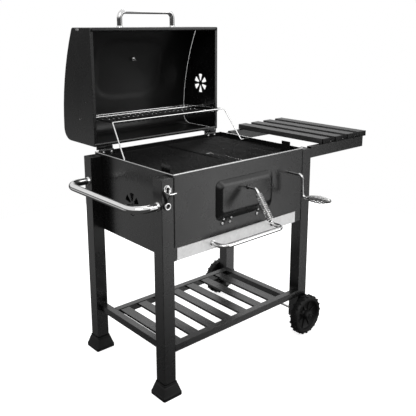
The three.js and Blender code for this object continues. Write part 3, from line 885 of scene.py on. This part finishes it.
# The lid's section from rim to rim, in Y and Z
def lidSection():
    rim, first, step = lid["rim"], lid["first"], lid["step"]
    points = [(rim, z) for z in lid["lowHem"]]
    points += [(first + step * i, lid["lowHem"][-1]) for i in range(15)]
    y, z = lid["bendCentre"]
    radius = lid["bend"] - 1
    for i in range(1, 11):
        angle = -math.pi / 2 + i * math.pi / 20
        points.append((y + radius * math.cos(angle), z + radius * math.sin(angle)))
    y0, y1 = lid["backY"]
    z0, z1, z2 = lid["backZ"]
    for i in range(1, 37):
        t = i / 36
        z = (1 - t) ** 2 * z0 + 2 * t * (1 - t) * z1 + t * t * z2
        points.append(((1 - t * t) * y0 + t * t * y1, z))
    y, z = lid["cornerCentre"]
    start = lid["cornerStart"]
    for i in range(1, 7):
        angle = start + i * (math.pi / 2 - start) / 6
        points.append((y + lid["corner"] * math.cos(angle), z + lid["corner"] * math.sin(angle)))
    points += [(first + step * i, lid["highHem"][0]) for i in range(9, -1, -1)]
    return points + [(rim, z) for z in lid["highHem"]]


# Lid shell: the section drawn along the trolley, with a shallow pressed panel in its back
def lidShell():
    bm = bmesh.new()
    x0, x1 = lid["x"]
    verts = [bm.verts.new(at(x0, y, z)) for y, z in lidSection()]
    edges = [bm.edges.new(pair) for pair in zip(verts, verts[1:])]
    step = Vector(((x1 - x0) / lid["columns"] / 1000, 0, 0))
    for _ in range(lid["columns"]):
        grown = bmesh.ops.extrude_edge_only(bm, edges=edges)["geom"]
        verts = [part for part in grown if isinstance(part, bmesh.types.BMVert)]
        bmesh.ops.translate(bm, vec=step, verts=verts)
        edges = [part for part in grown if isinstance(part, bmesh.types.BMEdge)]
    back = [face for face in bm.faces if face.calc_center_median().z > 0.9]
    if sum(face.normal.y * face.calc_area() for face in back) < 0:
        bmesh.ops.reverse_faces(bm, faces=bm.faces)
    cx, cz, halfWidth, halfHeight = lid["panel"]
    centre = at(cx, 0, cz)
    for vert in bm.verts:
        across = abs(vert.co.x - centre.x) * 1000 / halfWidth
        along = abs(vert.co.z - centre.z) * 1000 / halfHeight
        if vert.co.y < at(0, 600, 0).y:
            continue
        inside = (1.08 - (across ** 4 + along ** 4) ** 0.25) / 0.1
        share = min(max(inside, 0), 1)
        vert.co.y += lid["press"] / 1000 * share * share * (3 - 2 * share)
    made = piece("lid_pressing", bm, coat, "lid", ("lid_shell",), outward=False)
    made.data.materials.append(innerCoat)
    wall = made.modifiers.new("wall", "SOLIDIFY")
    wall.thickness = lid["sheet"] / 1000
    wall.offset = 0
    wall.material_offset = 1


lidShell()
eased("lid_left_side", coat, "lid", 0.0006)
eased("lid_right_side", coat, "lid", 0.0006)
eased("lid_vent_disc", coat, "lid_vent", 0.0004)
for side in ("left", "right"):
    eased(side + "_hinge_base", coat, "trolley", 0.0004)
    eased(side + "_hinge_leaf", coat, "lid", 0.0004)


screws = {"lidHinges": (52, 568), "apart": (-17, 17), "lidHandle": (184, 436), "legs": (23, 437),
          "panels": (690, 520), "slats": (690, 980), "stops": ((14, 80), (540, 606)),
          "hingeRadius": 0.0042, "handleRadius": 0.0045, "panelRadius": 0.004, "smallRadius": 0.0035,
          "baseNut": (462.6, 722), "baseBolt": (458, 750.6), "leafBolt": (495, 773.9),
          "handleNut": (551, 1197.9), "slatHeight": 713.8, "lidVent": (615.1, 580, 960),
          "boxVent": (-0.1, 230, 612)}


# Small fixings: hinge bolts, vent rivets, handle screws and the bolts that hold panels and slats
def fixings():
    fixed = bmesh.new()
    moving = bmesh.new()
    straps = bmesh.new()
    ventLid = bmesh.new()
    ventBox = bmesh.new()
    width = (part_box("front_panel")[1].x - home.x) * 1000
    for x in screws["lidHinges"]:
        for side in screws["apart"]:
            bolt(fixed, at(x + side, *screws["baseNut"]), Vector((0, 1, 0)), screws["hingeRadius"],
                 True)
            bolt(fixed, at(x + side, *screws["baseBolt"]), Vector((0, -1, 0)), screws["hingeRadius"])
            bolt(moving, at(x + side, *screws["leafBolt"]), Vector((0, 0, 1)), screws["hingeRadius"])
    for x in screws["lidHandle"]:
        bolt(moving, at(x, *screws["handleNut"]), Vector((0, 0, -1)), screws["handleRadius"], True)
    for x, way in ((0, -1), (width, 1)):
        for y in screws["legs"]:
            for z in screws["panels"]:
                bolt(fixed, at(x - way * 2.2, y, z), Vector((-way, 0, 0)), screws["panelRadius"], True)
    for y in screws["legs"]:
        for x in screws["slats"]:
            bolt(fixed, at(x, y, screws["slatHeight"]), Vector((0, 0, -1)), screws["smallRadius"])
    block(moving, at(5.4, 547, 1189), at(7.1, 571, 1196), 0.0006)
    for x0, x1 in screws["stops"]:
        block(straps, at(x0, 470.6, 760), at(x1, 472.6, 771.9), 0.0005)
    bolt(ventLid, at(*screws["lidVent"]), Vector((1, 0, 0)), screws["smallRadius"])
    bolt(ventBox, at(*screws["boxVent"]), Vector((-1, 0, 0)), screws["smallRadius"])
    piece("fixed_bolts", fixed, boltSteel, "trolley", ())
    piece("lid_bolts", moving, boltSteel, "lid", ())
    piece("lid_hinge_straps", straps, coat, "lid", ())
    piece("lid_vent_rivet", ventLid, coat, "lid_vent", ())
    piece("firebox_vent_rivet", ventBox, coat, "firebox_vent", ())


fixings()

dial = {"x": 310, "y": 656.2, "z": 1075, "lean": 0.319, "radius": 34, "ticks": 24, "stem": 0.004,
        "nut": 0.009, "longTick": (0.0011, 0.0004, 0.006), "longPlace": 0.025,
        "shortTick": (0.0006, 0.0004, 0.0035), "shortPlace": 0.026}


# Thermometer: bezel and stem, enamel face with ticks and a pointer, a flat glass pane
def thermometer():
    place = Matrix.Translation(at(dial["x"], dial["y"], dial["z"])) @ Matrix.Rotation(dial["lean"], 4, "X")
    body = bmesh.new()
    r = dial["radius"]
    profile = [(4, 0.8), (r - 3, 0.8), (r - 1, 3), (r, 6), (r, 11.5), (r - 1, 12.8), (r - 3, 12.8),
               (r - 4, 11.6), (r - 4, 8.5), (4, 8.5), (4, 0.8)]
    lathe(body, [Vector((a / 1000, b / 1000, 0)) for a, b in profile], (0, 0, 0), (0, 1, 0), 64)
    rod(body, Vector((0, -0.018, 0)), Vector((0, 0.0012, 0)), dial["stem"], 16)
    rod(body, Vector((0, -0.009, 0)), Vector((0, -0.0035, 0)), dial["nut"], 6)
    bmesh.ops.transform(body, matrix=place, verts=body.verts)
    piece("thermometer_case", body, chrome, "lid", ("thermometer",))
    face = bmesh.new()
    rod(face, Vector((0, 0.0086, 0)), Vector((0, 0.0092, 0)), (r - 4.2) / 1000, 48)
    bmesh.ops.transform(face, matrix=place, verts=face.verts)
    piece("thermometer_face", face, dialPaint, "lid", ())
    marks = bmesh.new()
    for i in range(dial["ticks"] + 1):
        angle = math.radians(-135 + 270 * i / dial["ticks"])
        kind = "short" if i % 4 else "long"
        tick = bmesh.ops.create_cube(marks, size=1)["verts"]
        bmesh.ops.scale(marks, vec=dial[kind + "Tick"], verts=tick)
        outward = Matrix.Translation((0, 0.0094, dial[kind + "Place"]))
        bmesh.ops.transform(marks, matrix=Matrix.Rotation(angle, 4, "Y") @ outward, verts=tick)
    rod(marks, Vector((0.004, 0.0102, -0.004)), Vector((-0.013, 0.0102, 0.013)), 0.0009, 8, 0.0004)
    rod(marks, Vector((0, 0.0092, 0)), Vector((0, 0.0108, 0)), 0.003, 20)
    bmesh.ops.transform(marks, matrix=place, verts=marks.verts)
    piece("thermometer_marks", marks, plastic, "lid", ())
    pane = bmesh.new()
    rod(pane, Vector((0, 0.0112, 0)), Vector((0, 0.0120, 0)), (r - 3.9) / 1000, 48)
    bmesh.ops.transform(pane, matrix=place, verts=pane.verts)
    piece("thermometer_glass", pane, glass, "lid", ())


thermometer()
print("lid done")

studio = {"floor": 0.8, "reach": 1.9, "glow": 0.7, "key": 40, "fill": 25,
          "ambient": 0.06, "front": 2.1, "left": 0.5, "above": 0.8}


# Pale round floor, lit from within a little so that it meets the pale room without an edge
def floor():
    bm = bmesh.new()
    bmesh.ops.create_circle(bm, cap_ends=True, radius=studio["reach"], segments=96)
    look = Look("pale floor")
    cloud = look.noise(look.place(), 2, 3)
    shader = look.finish({
        "Base Color": look.blendColours(cloud, grey(studio["floor"]), grey(studio["floor"] * 0.985)),
        "Roughness": 0.9,
        "Specular IOR Level": 0.1,
        "Emission Color": grey(1.0),
        "Emission Strength": studio["glow"],
    })
    mesh = bpy.data.meshes.new("floor")
    bm.to_mesh(mesh)
    bm.free()
    mesh.materials.append(shader)
    made = bpy.data.objects.new("floor", mesh)
    bpy.context.scene.collection.objects.link(made)
    made.visible_glossy = False


floor()


# Where the soft panels of the room begin and end: turns about the upright in radians, and heights
panels = {"frontRise": (0.56, 0.70), "frontFall": (0.78, 0.91), "frontFoot": (-0.50, -0.40),
          "leftRise": (-2.9, -2.7), "leftFall": (-2.3, -2.0), "leftFoot": (-0.50, -0.36),
          "leftTop": (-0.24, -0.12), "ceiling": (0.0, 0.25)}


# Dim room with a tall soft panel to the front right, a fainter one to the left and a bright ceiling
def room():
    world = bpy.data.worlds.new("room")
    bpy.context.scene.world = world
    world.use_nodes = True
    look = Look("room", world.node_tree)
    direction = look.wire(look.node("ShaderNodeTexCoord"), "Generated")
    parts = look.node("ShaderNodeSeparateXYZ", None, {0: direction})
    height = look.wire(parts, 2)
    angle = height.math("ARCTAN2", look.wire(parts, 0), 0 - look.wire(parts, 1))
    front = look.limited(angle, *panels["frontRise"]) * look.limited(angle, *panels["frontFall"], 1.0, 0.0)
    front = front * look.limited(height, *panels["frontFoot"])
    left = look.limited(angle, *panels["leftRise"]) * look.limited(angle, *panels["leftFall"], 1.0, 0.0)
    left = left * look.limited(height, *panels["leftFoot"])
    left = left * look.limited(height, *panels["leftTop"], 1.0, 0.1)
    above = look.limited(height, *panels["ceiling"])
    level = studio["ambient"] + studio["front"] * front + studio["left"] * left + studio["above"] * above
    lit = look.node("ShaderNodeBackground", None, {"Color": level, "Strength": 1.0})
    plain = look.node("ShaderNodeBackground", None, {"Color": grey(1.0), "Strength": 1.0})
    seen = look.wire(look.node("ShaderNodeLightPath"), "Is Camera Ray")
    mixed = look.node("ShaderNodeMixShader", None, {0: seen, 1: look.wire(lit), 2: look.wire(plain)})
    look.node("ShaderNodeOutputWorld", None, {0: look.wire(mixed)})


def areaLight(name, place, target, size, power):
    light = bpy.data.lights.new(name, "AREA")
    light.shape = "DISK"
    light.size = size
    light.energy = power
    made = bpy.data.objects.new(name, light)
    made.location = place
    made.rotation_euler = (Vector(target) - Vector(place)).to_track_quat("-Z", "Y").to_euler()
    bpy.context.scene.collection.objects.link(made)


room()
areaLight("key", (-2.2, -2.6, 3.4), (0, 0, 0.6), 2.2, studio["key"])
areaLight("fill", (1.8, 2.0, 3.2), (0, 0, 0.7), 2.5, studio["fill"])

view = {"place": (-1100.8, -1402.9, 1217.1), "turn": 41.552, "tilt": -12.784, "lens": 51.62,
        "shift": -0.12}


def camera():
    data = bpy.data.cameras.new("camera")
    data.lens = view["lens"]
    data.sensor_width = 36
    data.shift_y = view["shift"]
    made = bpy.data.objects.new("camera", data)
    made.location = at(*view["place"])
    made.rotation_euler = (math.radians(90 + view["tilt"]), 0, math.radians(-view["turn"]))
    bpy.context.scene.collection.objects.link(made)
    bpy.context.scene.camera = made


camera()
bpy.context.scene.view_settings.view_transform = "Standard"
print("room and camera ready")
